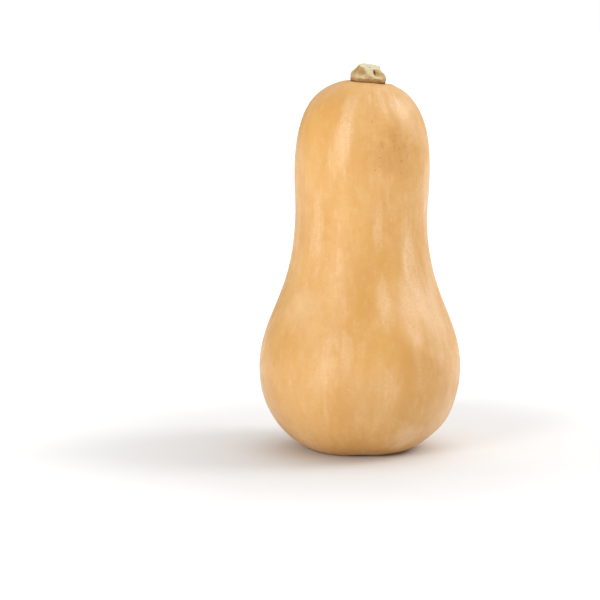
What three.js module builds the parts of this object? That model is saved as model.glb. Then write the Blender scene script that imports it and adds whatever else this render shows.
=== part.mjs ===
// Butternut squash, whole, standing upright on its blossom end.
//
// Millimetres, +Z up. The origin is on the resting plane, under the middle of the
// object's box. Two grown pieces: the fruit, and the corky stub of stem on its crown.

import * as THREE from 'three';
import { mergeVertices } from 'three/addons/utils/BufferGeometryUtils.js';

// ---- Fruit: radius and level of each station, from the floor up ----
const SCAR_RADIUS = 12; // dimple round the blossom scar, inside the resting ring
const SCAR_DEPTH = 2.5;
const REST_RADIUS = 29.5; // outer edge of the flat ring that it stands on
const BULB_RADIUS = 64.5; // widest place, over the seed cavity
const BULB_LEVEL = 52;
const WAIST_RADIUS = 42; // slimmest place of the neck
const WAIST_LEVEL = 153;
const NECK_RADIUS = 43; // fullest place of the neck, below the shoulder
const NECK_LEVEL = 180;
const CROWN_RADIUS = 3.5; // where the shoulder would close, under the stem
const CROWN_LEVEL = 236;
const SEAT_RADIUS = 13.5; // shallow flat seat that the stem sits in
const SEAT_DEPTH = 1.3; // below the crown's level

// How far the outline runs on in a station's own direction before it turns
const PULL = {
  rest: 9.5,
  bulbBelow: 35,
  bulbAbove: 35,
  waistBelow: 55,
  waistAbove: 4,
  neckBelow: 12,
  neckAbove: 38,
  crown: 27,
};

// ---- Fruit: what keeps it from being a plain turned shape ----
const LOBES = 5; // soft lobes on the lower bulb
const LOBE_DEPTH = 1.1;
const LOBE_LEVEL = 22; // where they are deepest
const LOBE_SPREAD = 24; // how far up and down they fade
const LOBE_TURN = 0.37; // radians
const LEAN = 2; // how far the crown stands to +X of the base
const BOW = 1.5; // how far the waist bows to +Y
const SHOULDER_TILT = 0.03; // fall of the shoulder towards +X, per unit
const SEAT_TILT = 0.055; // how much more the seat falls that way
const SEAT_SHIFT = 2.6; // of the seat and the stem, to +X of the fruit's own axis
const SEAT_REACH = 34; // radius at which the seat's tilt and shift have faded away

// ---- Stem stub ----
const STEM_GAP = 0.3; // to the seat below it
const STEM_BASE_RADIUS = 11;
const STEM_SWELL_RADIUS = 11.5; // corky swelling just above the base
const STEM_SWELL_LEVEL = 2.8;
const STEM_RIM_RADIUS = 7.2; // edge of the cut face
const STEM_HEIGHT = 10;
const STEM_DISH = 0.8; // how far the cut face sinks towards its middle
const STEM_RIDGES = 5;
const STEM_RIDGE_DEPTH = 0.8;
const STEM_RIDGE_TURN = 0.3; // radians
const CUT_FALL_FRONT = 0.19; // fall of the slanting cut towards -Y, per unit
const CUT_FALL_SIDE = 0.05; // and towards +X

// ---- Mesh fineness ----
const FRUIT_SIDES = 60;
const STEM_SIDES = 40;

const point = (radius, level) => new THREE.Vector2(radius, level);

/** Outline from one point to the next, leaving and arriving along the given pulls. */
function stretch(from, leave, to, arrive, steps) {
  const curve = new THREE.CubicBezierCurve(
    from,
    from.clone().add(leave),
    to.clone().sub(arrive),
    to,
  );
  return curve.getSpacedPoints(steps).slice(1);
}

/** Closed solid of revolution about +Z, with its seam and poles welded. */
function turned(outline, sides) {
  const geometry = new THREE.LatheGeometry(outline, sides);
  geometry.rotateX(Math.PI / 2);
  geometry.deleteAttribute('normal');
  geometry.deleteAttribute('uv');
  return mergeVertices(geometry, 1e-4);
}

/** Moves each vertex of a geometry by move(vertex, angle round +Z, distance from it). */
function reshape(geometry, move) {
  const positions = geometry.attributes.position;
  const vertex = new THREE.Vector3();
  for (let i = 0; i < positions.count; i += 1) {
    vertex.fromBufferAttribute(positions, i);
    move(vertex, Math.atan2(vertex.y, vertex.x), Math.hypot(vertex.x, vertex.y));
    positions.setXYZ(i, vertex.x, vertex.y, vertex.z);
  }
  geometry.computeVertexNormals();
  return geometry;
}

function fruitOutline() {
  const restInner = point(SCAR_RADIUS, 0);
  const restOuter = point(REST_RADIUS, 0);
  const bulb = point(BULB_RADIUS, BULB_LEVEL);
  const waist = point(WAIST_RADIUS, WAIST_LEVEL);
  const neck = point(NECK_RADIUS, NECK_LEVEL);
  const crown = point(CROWN_RADIUS, CROWN_LEVEL);
  const seatEdge = point(SEAT_RADIUS, CROWN_LEVEL - SEAT_DEPTH);
  const up = (pull) => point(0, pull);
  const shoulder = stretch(neck, up(PULL.neckAbove), crown, point(-PULL.crown, 0), 18);
  return [
    point(0, SCAR_DEPTH),
    point(SCAR_RADIUS / 2, SCAR_DEPTH * 0.8),
    restInner,
    restOuter,
    ...stretch(restOuter, point(PULL.rest, 0), bulb, up(PULL.bulbBelow), 14),
    ...stretch(bulb, up(PULL.bulbAbove), waist, up(PULL.waistBelow), 17),
    ...stretch(waist, up(PULL.waistAbove), neck, up(PULL.neckBelow), 4),
    ...shoulder.filter((place) => place.x > SEAT_RADIUS),
    seatEdge,
    point(0, seatEdge.y),
  ];
}

/** The fruit's own axis at a level: it leans to +X and bows a little to +Y. */
function axisAt(level) {
  const height = level / CROWN_LEVEL;
  return point(LEAN * height, BOW * Math.sin(Math.PI * height) * height);
}

/** Share of the seat's shift and tilt that a point on the fruit takes: all of it at the seat. */
function seatShare(level, radius) {
  return level > NECK_LEVEL
    ? 1 - THREE.MathUtils.smoothstep(radius, SEAT_RADIUS, SEAT_REACH)
    : 0;
}

function makeFruit() {
  const skin = new THREE.MeshStandardMaterial({ color: 0xe0ad6d, roughness: 0.5, metalness: 0 });
  const geometry = reshape(turned(fruitOutline(), FRUIT_SIDES), (vertex, angle, radius) => {
    const fromLobes = (vertex.z - LOBE_LEVEL) / LOBE_SPREAD;
    const fade = Math.exp(-fromLobes * fromLobes) * Math.min(radius / BULB_RADIUS, 1);
    const swell = LOBE_DEPTH * fade * Math.cos(LOBES * (angle - LOBE_TURN));
    const share = seatShare(vertex.z, radius);
    const axis = axisAt(vertex.z);
    const shoulder = THREE.MathUtils.smoothstep(vertex.z, NECK_LEVEL, CROWN_LEVEL);
    vertex.z -= (shoulder * SHOULDER_TILT + share * SEAT_TILT) * vertex.x;
    vertex.x += swell * Math.cos(angle) + axis.x + share * SEAT_SHIFT;
    vertex.y += swell * Math.sin(angle) + axis.y;
  });
  const fruit = new THREE.Mesh(geometry, skin);
  fruit.name = 'fruit';
  return fruit;
}

function stemOutline() {
  const foot = point(STEM_BASE_RADIUS, 0);
  const swell = point(STEM_SWELL_RADIUS, STEM_SWELL_LEVEL);
  const rim = point(STEM_RIM_RADIUS, STEM_HEIGHT);
  return [
    point(0, 0),
    point(STEM_BASE_RADIUS / 2, 0),
    foot,
    ...stretch(foot, point(0.5, 0.6), swell, point(0, 1), 3),
    ...stretch(swell, point(0, 4), rim, point(-1.6, 2), 7),
    point(STEM_RIM_RADIUS * 0.5, STEM_HEIGHT - STEM_DISH * 0.7),
    point(0, STEM_HEIGHT - STEM_DISH),
  ];
}

function makeStem() {
  const cork = new THREE.MeshStandardMaterial({ color: 0xcfb182, roughness: 0.85, metalness: 0 });
  const geometry = reshape(turned(stemOutline(), STEM_SIDES), (vertex, angle, radius) => {
    const height = vertex.z / STEM_HEIGHT;
    const outward = radius / STEM_BASE_RADIUS;
    const depth = STEM_RIDGE_DEPTH * outward * (0.35 + 0.65 * height);
    const ridge = depth * Math.cos(STEM_RIDGES * (angle - STEM_RIDGE_TURN));
    vertex.x += ridge * Math.cos(angle);
    vertex.y += ridge * Math.sin(angle);
    vertex.z += height * (CUT_FALL_FRONT * vertex.y - CUT_FALL_SIDE * vertex.x);
  });
  const stem = new THREE.Mesh(geometry, cork);
  stem.name = 'stem';
  const seatLevel = CROWN_LEVEL - SEAT_DEPTH;
  const axis = axisAt(seatLevel);
  stem.position.set(axis.x + SEAT_SHIFT, axis.y, seatLevel + STEM_GAP);
  stem.rotation.y = Math.atan(SHOULDER_TILT + SEAT_TILT);
  return stem;
}

const squash = new THREE.Group();
squash.add(makeFruit(), makeStem());

// Stand it so that the middle of its box is over the origin
const middle = new THREE.Box3().setFromObject(squash).getCenter(new THREE.Vector3());
squash.position.set(-middle.x, -middle.y, 0);

export default squash;
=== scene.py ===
import logging
import math
from abc import ABC, abstractmethod
from collections.abc import Sequence
from dataclasses import dataclass
from enum import Enum
from functools import cached_property

import bpy
import numpy as np
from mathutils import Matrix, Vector, noise


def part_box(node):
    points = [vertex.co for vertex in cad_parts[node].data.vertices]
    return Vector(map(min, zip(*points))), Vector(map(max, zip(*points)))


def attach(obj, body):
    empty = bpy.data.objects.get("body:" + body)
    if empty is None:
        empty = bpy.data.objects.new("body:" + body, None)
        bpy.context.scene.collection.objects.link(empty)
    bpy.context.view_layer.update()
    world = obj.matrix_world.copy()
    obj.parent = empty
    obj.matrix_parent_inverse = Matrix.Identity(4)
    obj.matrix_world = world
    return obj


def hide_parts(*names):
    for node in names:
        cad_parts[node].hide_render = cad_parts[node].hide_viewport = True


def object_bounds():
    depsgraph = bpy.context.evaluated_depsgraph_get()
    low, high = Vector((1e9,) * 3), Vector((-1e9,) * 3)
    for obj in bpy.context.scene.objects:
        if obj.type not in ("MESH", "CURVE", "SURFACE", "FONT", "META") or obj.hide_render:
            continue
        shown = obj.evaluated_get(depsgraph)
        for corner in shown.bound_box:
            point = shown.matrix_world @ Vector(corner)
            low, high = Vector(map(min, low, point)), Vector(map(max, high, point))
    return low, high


# The looks of a whole butternut squash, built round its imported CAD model.
#
# Metres, in the model's own frame: +Z up, -Y to the front, +X to the right, with the origin on
# the resting plane under the middle of the squash. Angles round the squash are in degrees from
# +X, anticlockwise seen from above, so -90 is the front. Colours are linear.

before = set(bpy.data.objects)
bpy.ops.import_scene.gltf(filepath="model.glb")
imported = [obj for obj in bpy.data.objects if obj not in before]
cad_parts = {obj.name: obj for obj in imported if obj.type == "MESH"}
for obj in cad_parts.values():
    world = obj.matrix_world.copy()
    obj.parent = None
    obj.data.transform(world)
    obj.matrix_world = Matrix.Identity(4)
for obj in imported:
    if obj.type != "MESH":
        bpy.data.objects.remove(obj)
CAD_LOW, CAD_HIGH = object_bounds()

log = logging.getLogger("butternut_squash")

MM = 0.001

Colour = tuple[float, float, float]
Socket = bpy.types.NodeSocket
Feed = float | Sequence[float] | Socket


# ---------------------------------------------------------------------------------------------
# Shapes made of rings
# ---------------------------------------------------------------------------------------------


def smooth_step(low: float, high: float, value: np.ndarray | float) -> np.ndarray | float:
    """Rises smoothly from 0 at low to 1 at high.

    Args:
        low: Where the rise starts.
        high: Where the rise ends.
        value: What is measured against them.

    Returns:
        The share of the rise, with the shape of value.
    """
    share = np.clip((value - low) / (high - low), 0.0, 1.0)
    return share * share * (3.0 - 2.0 * share)


def bell(distance: np.ndarray | float, reach: float) -> np.ndarray | float:
    """A bell curve that is 1 at no distance and has all but gone at twice the reach.

    Args:
        distance: How far off.
        reach: The distance at which it has fallen to about a third.

    Returns:
        The height of the bell, with the shape of distance.
    """
    return np.exp(-((distance / reach) ** 2))


def turn_between(angle: np.ndarray, other: np.ndarray | float) -> np.ndarray:
    """The signed angle from other to angle by the shorter way, in radians."""
    return (angle - other + math.pi) % (2.0 * math.pi) - math.pi


def round_angles(sides: int) -> np.ndarray:
    """Evenly spaced angles once round, in radians, as one row."""
    return np.linspace(0.0, 2 * np.pi, sides, endpoint=False)[None, :]


def cubic(points: Sequence[tuple[float, float]], steps: int) -> np.ndarray:
    """A cubic curve through its first and last points, drawn out by the two between.

    Args:
        points: Start, the two control points, and the end, as (radius, level).
        steps: How many straight steps stand for the curve.

    Returns:
        The curve's points after the first, one row each.
    """
    start, leave, arrive, end = (np.array(point) for point in points)
    t = np.linspace(0.0, 1.0, steps + 1)[1:, None]
    away = 1.0 - t
    return away**3 * start + 3 * away**2 * t * leave + 3 * away * t**2 * arrive + t**3 * end


def evenly_spaced(outline: np.ndarray, count: int) -> np.ndarray:
    """Places points at equal steps along an outline.

    Args:
        outline: The outline's points, one row each.
        count: How many points to place, both ends included.

    Returns:
        The placed points, one row each.
    """
    lengths = np.hypot(*np.diff(outline, axis=0).T)
    along = np.concatenate([[0.0], np.cumsum(lengths)])
    wanted = np.linspace(0.0, along[-1], count)
    return np.stack([np.interp(wanted, along, outline[:, k]) for k in range(2)], axis=1)


@dataclass(frozen=True)
class Roughness:
    """A layer of smooth unevenness in a mesh: its height, and the size of its features.

    The squash scales the points' places, so that features are longer where it is under 1.
    """

    height: float
    size: float
    octaves: int
    seed: float
    squash: tuple[float, float, float] = (1.0, 1.0, 1.0)

    def on(self, points: np.ndarray) -> np.ndarray:
        """How far it moves each of some points.

        Args:
            points: An array whose last axis is x, y, z.

        Returns:
            The moves, with the shape of points less its last axis.
        """
        flat = (points * self.squash).reshape(-1, 3) / self.size + self.seed
        values = [noise.fractal(Vector(place), 1.0, 2.0, self.octaves) for place in flat]
        return self.height * np.array(values).reshape(points.shape[:-1])


@dataclass(frozen=True)
class RingRise:
    """A soft rise that runs round an axis: its height, its radius and its width."""

    height: float
    radius: float
    width: float

    def on(self, radii: np.ndarray, scale: float = 1.0) -> np.ndarray:
        """How far it lifts points at some radii, with its radius and width scaled."""
        return self.height * bell(radii - scale * self.radius, scale * self.width)


@dataclass
class RingSurface:
    """A closed surface of stacked rings, with a single point at each pole.

    The first and the last ring shrink to the poles.
    """

    name: str
    rings: np.ndarray

    def piece(self) -> bpy.types.Object:
        """Builds the surface as a smooth mesh object at the origin.

        Returns:
            The new object, linked to the scene.
        """
        count, sides, _ = self.rings.shape
        inner = self.rings[1:-1].reshape(-1, 3)
        points = np.concatenate([self.rings[0].mean(0)[None], inner, self.rings[-1].mean(0)[None]])
        mesh = bpy.data.meshes.new(self.name)
        mesh.from_pydata(points.tolist(), [], self._faces(count - 2, sides))
        mesh.polygons.foreach_set("use_smooth", [True] * len(mesh.polygons))
        mesh.update()
        piece = bpy.data.objects.new(self.name, mesh)
        bpy.context.scene.collection.objects.link(piece)
        return piece

    @staticmethod
    def _faces(count: int, sides: int) -> list[list[int]]:
        """The faces between rings of points, with fans at the two poles.

        Args:
            count: How many rings there are between the poles.
            sides: How many points each ring has.

        Returns:
            The numbers of each face's points.
        """
        top = count * sides + 1
        faces = []
        for side in range(sides):
            after = (side + 1) % sides
            faces.append([0, 1 + after, 1 + side])
            last = 1 + (count - 1) * sides
            faces.append([top, last + side, last + after])
            for ring in range(count - 1):
                low = 1 + ring * sides
                high = low + sides
                faces.append([low + side, low + after, high + after, high + side])
        return faces

    def mark(self, piece: bpy.types.Object, name: str, values: np.ndarray) -> None:
        """Stores a mask on the surface's points, for its material to read.

        Args:
            piece: The object that piece() made.
            name: The mask's name.
            values: One value for each point of each ring.
        """
        flat = np.concatenate([[values[0].mean()], values[1:-1].ravel(), [values[-1].mean()]])
        layer = piece.data.attributes.new(name, "FLOAT", "POINT")
        layer.data.foreach_set("value", flat.astype(np.float32))

    def lay_out(self, piece: bpy.types.Object, name: str, places: np.ndarray) -> None:
        """Stores a place for each of the surface's points, for its material's grain to follow.

        Args:
            piece: The object that piece() made.
            name: The name the places are stored by.
            places: One place for each point of each ring.
        """
        ends = [places[0].mean(0)[None], places[1:-1].reshape(-1, 3), places[-1].mean(0)[None]]
        layer = piece.data.attributes.new(name, "FLOAT_VECTOR", "POINT")
        layer.data.foreach_set("vector", np.concatenate(ends).astype(np.float32).ravel())


@dataclass(frozen=True)
class Swelling:
    """A soft swelling on a round body, or a hollow where its rise is negative."""

    angle: float
    level: float
    width: float
    height: float
    rise: float

    def on(self, angles: np.ndarray, levels: np.ndarray, radii: np.ndarray) -> np.ndarray:
        """How far it moves each point outwards.

        Args:
            angles: Angle of each point, in radians.
            levels: Level of each point.
            radii: Distance of each point from the body's axis.

        Returns:
            The outward move of each point.
        """
        across = turn_between(angles, math.radians(self.angle)) * radii
        shape = (across / self.width) ** 2 + ((levels - self.level) / self.height) ** 2
        return self.rise * np.exp(-shape)


@dataclass(frozen=True)
class Ridge:
    """A rounded ridge that runs over a round body along a path of (angle, level)."""

    path: tuple[tuple[float, float], ...]
    width: float
    rise: float

    def share(self, angles: np.ndarray, levels: np.ndarray, radius: float) -> np.ndarray:
        """How near each point is to the ridge's crest, from 0 to 1.

        Args:
            angles: Angle of each point, in radians.
            levels: Level of each point.
            radius: Radius at which the body's flank is unrolled to measure distances.

        Returns:
            The share of the ridge's rise at each point.
        """
        nearest = np.full(levels.shape, np.inf)
        for (angle_a, level_a), (angle_b, level_b) in zip(self.path, self.path[1:]):
            run = math.radians(angle_b - angle_a) * radius
            climb = level_b - level_a
            across = turn_between(angles, math.radians(angle_a)) * radius
            rise = levels - level_a
            along = np.clip((across * run + rise * climb) / (run**2 + climb**2), 0.0, 1.0)
            nearest = np.minimum(nearest, np.hypot(across - along * run, rise - along * climb))
        return bell(nearest, self.width)


# ---------------------------------------------------------------------------------------------
# Shader nodes
# ---------------------------------------------------------------------------------------------


class Sum(Enum):
    """A step of arithmetic between two values."""

    ADD = "ADD"
    SUBTRACT = "SUBTRACT"
    MULTIPLY = "MULTIPLY"
    DIVIDE = "DIVIDE"
    MAXIMUM = "MAXIMUM"
    LESS_THAN = "LESS_THAN"


class VectorSum(Enum):
    """A step of arithmetic between two vectors."""

    MULTIPLY = "MULTIPLY"
    DIVIDE = "DIVIDE"
    DISTANCE = "DISTANCE"
    DOT_PRODUCT = "DOT_PRODUCT"


class NodeSheet:
    """A node tree being drawn up."""

    # Where a Mix node keeps its sockets for colours
    MIX_FACTOR = 0
    MIX_LOWER = 6
    MIX_UPPER = 7
    MIX_RESULT = 2

    def __init__(self, tree: bpy.types.NodeTree) -> None:
        """Starts on an empty tree."""
        self.tree = tree
        tree.nodes.clear()

    def add(self, kind: str, **settings: object) -> bpy.types.Node:
        """Adds a node.

        Args:
            kind: The node's type.
            settings: The node's own options, by name.

        Returns:
            The new node.
        """
        node = self.tree.nodes.new(kind)
        for name, value in settings.items():
            setattr(node, name, value)
        return node

    def feed(self, socket: Socket, value: Feed) -> None:
        """Links a socket to another, or sets it to a constant.

        Args:
            socket: The socket that is fed.
            value: The other socket, or the constant.
        """
        if isinstance(value, Socket):
            self.tree.links.new(value, socket)
        else:
            socket.default_value = value

    def sum(self, step: Sum, first: Feed, second: Feed, clamp: bool = False) -> Socket:
        """One step of arithmetic.

        Args:
            step: What to do with the two values.
            first: The first value.
            second: The second value.
            clamp: Whether to keep the result within 0 to 1.

        Returns:
            The result's socket.
        """
        node = self.add("ShaderNodeMath", operation=step.value, use_clamp=clamp)
        self.feed(node.inputs[0], first)
        self.feed(node.inputs[1], second)
        return node.outputs[0]

    def product(self, first: Feed, second: Feed) -> Socket:
        """The product of two values."""
        return self.sum(Sum.MULTIPLY, first, second)

    def sum_vectors(self, step: VectorSum, first: Feed, second: Feed) -> Socket:
        """One step of arithmetic between vectors.

        Args:
            step: What to do with the two vectors.
            first: The first vector.
            second: The second vector.

        Returns:
            The result's socket: a value for a distance or a dot product, and else a vector.
        """
        node = self.add("ShaderNodeVectorMath", operation=step.value)
        self.feed(node.inputs[0], first)
        self.feed(node.inputs[1], second)
        is_value = step in (VectorSum.DISTANCE, VectorSum.DOT_PRODUCT)
        return node.outputs["Value" if is_value else "Vector"]

    def spread(self, value: Feed, low: Feed, high: Feed) -> Socket:
        """Maps a value smoothly from low..high to 0..1.

        Args:
            value: What is mapped.
            low: What becomes 0.
            high: What becomes 1.

        Returns:
            The mapped value's socket.
        """
        node = self.add("ShaderNodeMapRange", interpolation_type="SMOOTHSTEP")
        self.feed(node.inputs["Value"], value)
        self.feed(node.inputs["From Min"], low)
        self.feed(node.inputs["From Max"], high)
        return node.outputs["Result"]

    def lay_over(self, lower: Feed, upper: Colour, mask: Socket, amount: float = 1.0) -> Socket:
        """Lays a colour over another.

        Args:
            lower: The colour underneath.
            upper: The colour on top.
            mask: Where the upper one shows, from 0 to 1.
            amount: How much of it shows where the mask is 1.

        Returns:
            The resulting colour's socket.
        """
        node = self.add("ShaderNodeMix", data_type="RGBA")
        self.feed(node.inputs[self.MIX_FACTOR], mask if amount == 1.0 else self.product(mask, amount))
        self.feed(node.inputs[self.MIX_LOWER], (*lower, 1.0) if isinstance(lower, tuple) else lower)
        self.feed(node.inputs[self.MIX_UPPER], (*upper, 1.0))
        return node.outputs[self.MIX_RESULT]

    def place(self, group: bpy.types.NodeTree, **inputs: Feed) -> Socket:
        """Places a node group and feeds its inputs.

        Args:
            group: The group.
            inputs: Values for the group's inputs, by name.

        Returns:
            The group's mask.
        """
        node = self.add("ShaderNodeGroup", node_tree=group)
        for name, value in inputs.items():
            self.feed(node.inputs[name], value)
        return node.outputs["Mask"]

    def mask(self, name: str) -> Socket:
        """Reads a mask that is stored on the mesh."""
        return self.add("ShaderNodeAttribute", attribute_name=name).outputs["Fac"]

    def places(self, name: str) -> Socket:
        """Reads the places that are stored on the mesh."""
        return self.add("ShaderNodeAttribute", attribute_name=name).outputs["Vector"]


class EffectGroups:
    """The effects that more than one material uses, as shader node groups."""

    def __init__(self) -> None:
        """Builds each group once."""
        self.long_grain = self._long_grain()
        self.flecks = self._flecks()
        self.patch = self._patch()

    @staticmethod
    def _start(
        name: str, vectors: Sequence[str], values: Sequence[str]
    ) -> tuple[NodeSheet, bpy.types.NodeOutputs]:
        """Starts a group that puts out one mask.

        Args:
            name: The group's name.
            vectors: The names of its vector inputs.
            values: The names of its plain inputs.

        Returns:
            The group's sheet, and the sockets that its inputs come from.
        """
        tree = bpy.data.node_groups.new(name, "ShaderNodeTree")
        for title in vectors:
            tree.interface.new_socket(title, in_out="INPUT", socket_type="NodeSocketVector")
        for title in values:
            tree.interface.new_socket(title, in_out="INPUT", socket_type="NodeSocketFloat")
        tree.interface.new_socket("Mask", in_out="OUTPUT", socket_type="NodeSocketFloat")
        sheet = NodeSheet(tree)
        return sheet, sheet.add("NodeGroupInput").outputs

    @staticmethod
    def _end(sheet: NodeSheet, mask: Socket) -> bpy.types.NodeTree:
        """Puts out the mask and returns the group."""
        sheet.feed(sheet.add("NodeGroupOutput").inputs["Mask"], mask)
        return sheet.tree

    @staticmethod
    def _in_cells(sheet: NodeSheet, position: Socket, size: Socket, stretch: Socket) -> Socket:
        """Counts the position in cells of a size, which are stretched along Z.

        Args:
            sheet: The group's sheet.
            position: The position.
            size: How wide a cell is.
            stretch: How much longer than wide it is.

        Returns:
            The counted position.
        """
        cell = sheet.add("ShaderNodeCombineXYZ")
        for axis, length in zip("XYZ", (size, size, sheet.product(size, stretch))):
            sheet.feed(cell.inputs[axis], length)
        return sheet.sum_vectors(VectorSum.DIVIDE, position, cell.outputs[0])

    @staticmethod
    def _clouds(sheet: NodeSheet, counted: Socket, detail: Feed) -> Socket:
        """Places plain noise.

        Args:
            sheet: The group's sheet.
            counted: The position, in noise cells.
            detail: How many finer layers the noise has.

        Returns:
            The noise, about 0.5.
        """
        clouds = sheet.add("ShaderNodeTexNoise")
        sheet.feed(clouds.inputs["Vector"], counted)
        sheet.feed(clouds.inputs["Scale"], 1.0)
        sheet.feed(clouds.inputs["Detail"], detail)
        return clouds.outputs["Fac"]

    def _long_grain(self) -> bpy.types.NodeTree:
        """Cloudy noise drawn out lengthwise: mottling, streaks and pores by its size.

        Returns:
            The group.
        """
        values = ("Size", "Stretch", "Detail", "Low", "High")
        sheet, given = self._start("long_grain", ("Position",), values)
        counted = self._in_cells(sheet, given["Position"], given["Size"], given["Stretch"])
        clouds = self._clouds(sheet, counted, given["Detail"])
        return self._end(sheet, sheet.spread(clouds, given["Low"], given["High"]))

    def _flecks(self) -> bpy.types.NodeTree:
        """Scattered small marks, round or drawn out lengthwise.

        Returns:
            The group.
        """
        values = ("Spacing", "Stretch", "Share", "Present")
        sheet, given = self._start("flecks", ("Position",), values)
        counted = self._in_cells(sheet, given["Position"], given["Spacing"], given["Stretch"])
        cells = sheet.add("ShaderNodeTexVoronoi", feature="F1")
        sheet.feed(cells.inputs["Vector"], counted)
        sheet.feed(cells.inputs["Scale"], 1.0)
        chance = sheet.add("ShaderNodeSeparateColor")
        sheet.feed(chance.inputs["Color"], cells.outputs["Color"])
        kept = sheet.sum(Sum.LESS_THAN, chance.outputs[0], given["Present"])
        own_size = sheet.sum(Sum.ADD, chance.outputs[1], 0.5)
        near = sheet.spread(cells.outputs["Distance"], sheet.product(given["Share"], own_size), 0.0)
        return self._end(sheet, sheet.product(near, kept))

    def _patch(self) -> bpy.types.NodeTree:
        """A ragged round patch about a place.

        Returns:
            The group.
        """
        vectors = ("Position", "Centre")
        sheet, given = self._start("patch", vectors, ("Reach", "Edge", "Ragged"))
        away = sheet.sum_vectors(VectorSum.DISTANCE, given["Position"], given["Centre"])
        cells = sheet.sum(Sum.DIVIDE, 2.5, given["Ragged"])
        counted = sheet.sum_vectors(VectorSum.MULTIPLY, given["Position"], cells)
        waver = sheet.sum(Sum.SUBTRACT, self._clouds(sheet, counted, 4.0), 0.5)
        distance = sheet.sum(Sum.ADD, away, sheet.product(waver, given["Ragged"]))
        outer = sheet.sum(Sum.ADD, given["Reach"], given["Edge"])
        return self._end(sheet, sheet.spread(distance, outer, given["Reach"]))


# ---------------------------------------------------------------------------------------------
# What finishes are made of
# ---------------------------------------------------------------------------------------------


@dataclass(frozen=True)
class Grain:
    """Cloudy noise of a size, stretched lengthwise, spread from its low value to its high one."""

    size: float
    stretch: float
    low: float
    high: float
    detail: float = 5.0


@dataclass(frozen=True)
class Flecks:
    """A scatter of marks in cells of a spacing.

    A mark takes up a share of the spacing, and is present in a part of the cells.
    """

    spacing: float
    stretch: float
    share: float
    present: float


@dataclass(frozen=True)
class Streak:
    """One kind of lengthwise streak in the rind."""

    grain: Grain
    tint: Colour
    amount: float


@dataclass(frozen=True)
class SurfacePatch:
    """A patch of another tint at a place on a surface, with an edge that strays."""

    centre: tuple[float, float, float]
    reach: float
    edge: float
    ragged: float
    tint: Colour
    amount: float


@dataclass(frozen=True)
class Relief:
    """One layer of fine relief in a material: grain of a size and a height."""

    size: float
    stretch: float
    height: float

    @property
    def grain(self) -> Grain:
        """The grain that is raised."""
        return Grain(self.size, self.stretch, low=0.2, high=0.8, detail=3.0)


class MaterialSheet(NodeSheet):
    """The node tree of a material, with the shared effects at hand."""

    def __init__(self, name: str, effects: EffectGroups) -> None:
        """Starts a material.

        Args:
            name: The material's name.
            effects: The shared node groups.
        """
        self.material = bpy.data.materials.new(name)
        self.material.use_nodes = True
        super().__init__(self.material.node_tree)
        self.effects = effects
        self.position = self.add("ShaderNodeTexCoord").outputs["Object"]

    def grain(self, place: Socket, grain: Grain) -> Socket:
        """Places one grain.

        Args:
            place: What the grain follows.
            grain: The grain.

        Returns:
            The grain's mask.
        """
        return self.place(
            self.effects.long_grain,
            Position=place,
            Size=grain.size,
            Stretch=grain.stretch,
            Detail=grain.detail,
            Low=grain.low,
            High=grain.high,
        )

    def scatter(self, flecks: Flecks) -> Socket:
        """Scatters flecks over the object.

        Args:
            flecks: The flecks.

        Returns:
            Their mask.
        """
        return self.place(
            self.effects.flecks,
            Position=self.position,
            Spacing=flecks.spacing,
            Stretch=flecks.stretch,
            Share=flecks.share,
            Present=flecks.present,
        )

    def zone(self, place: Socket, patch: SurfacePatch) -> Socket:
        """Marks out a patch.

        Args:
            place: The layout that the patch's centre is given in.
            patch: The patch.

        Returns:
            Its mask.
        """
        return self.place(
            self.effects.patch,
            Position=place,
            Centre=patch.centre,
            Reach=patch.reach,
            Edge=patch.edge,
            Ragged=patch.ragged,
        )

    def lay_patch(self, lower: Socket, patch: SurfacePatch) -> Socket:
        """Lays a patch of tint over a colour."""
        return self.lay_over(lower, patch.tint, self.zone(self.position, patch), patch.amount)

    def relief(self, place: Socket, layers: Sequence[Relief], lower: Feed = 0.0) -> Feed:
        """Adds up layers of grain as a height in metres.

        Args:
            place: What the grain follows.
            layers: The layers.
            lower: The height that they are added to.

        Returns:
            The height.
        """
        height = lower
        for layer in layers:
            raised = self.product(self.grain(place, layer.grain), layer.height)
            height = self.sum(Sum.ADD, raised, height)
        return height

    def surface(
        self,
        colour: Socket,
        roughness: Feed,
        height: Feed,
        glow: Socket | None = None,
        **constants: float,
    ) -> None:
        """Feeds a Principled shader and links it to the material's output.

        Args:
            colour: The base colour.
            roughness: The roughness.
            height: The height of the relief, in metres.
            glow: The colour of the light that it gives off, if any.
            constants: Other sockets of the shader, by name with _ for a space.
        """
        bump = self.add("ShaderNodeBump")
        self.feed(bump.inputs["Distance"], 1.0)
        self.feed(bump.inputs["Height"], height)
        shader = self.add("ShaderNodeBsdfPrincipled")
        if glow is not None:
            self.feed(shader.inputs["Emission Color"], glow)
        self.feed(shader.inputs["Base Color"], colour)
        self.feed(shader.inputs["Roughness"], roughness)
        self.feed(shader.inputs["Normal"], bump.outputs["Normal"])
        for title, value in constants.items():
            shader.inputs[title.replace("_", " ")].default_value = value
        output = self.add("ShaderNodeOutputMaterial")
        self.feed(output.inputs["Surface"], shader.outputs["BSDF"])


class Finish(ABC):
    """What a surface is dressed in."""

    name: str

    def material(self, effects: EffectGroups) -> bpy.types.Material:
        """Builds the material.

        Args:
            effects: The shared node groups.

        Returns:
            The material.
        """
        sheet = MaterialSheet(self.name, effects)
        self._draw(sheet)
        return sheet.material

    @abstractmethod
    def _draw(self, sheet: MaterialSheet) -> None:
        """Draws up the finish.

        Args:
            sheet: The material's sheet.
        """


# ---------------------------------------------------------------------------------------------
# Finishes
# ---------------------------------------------------------------------------------------------


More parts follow.
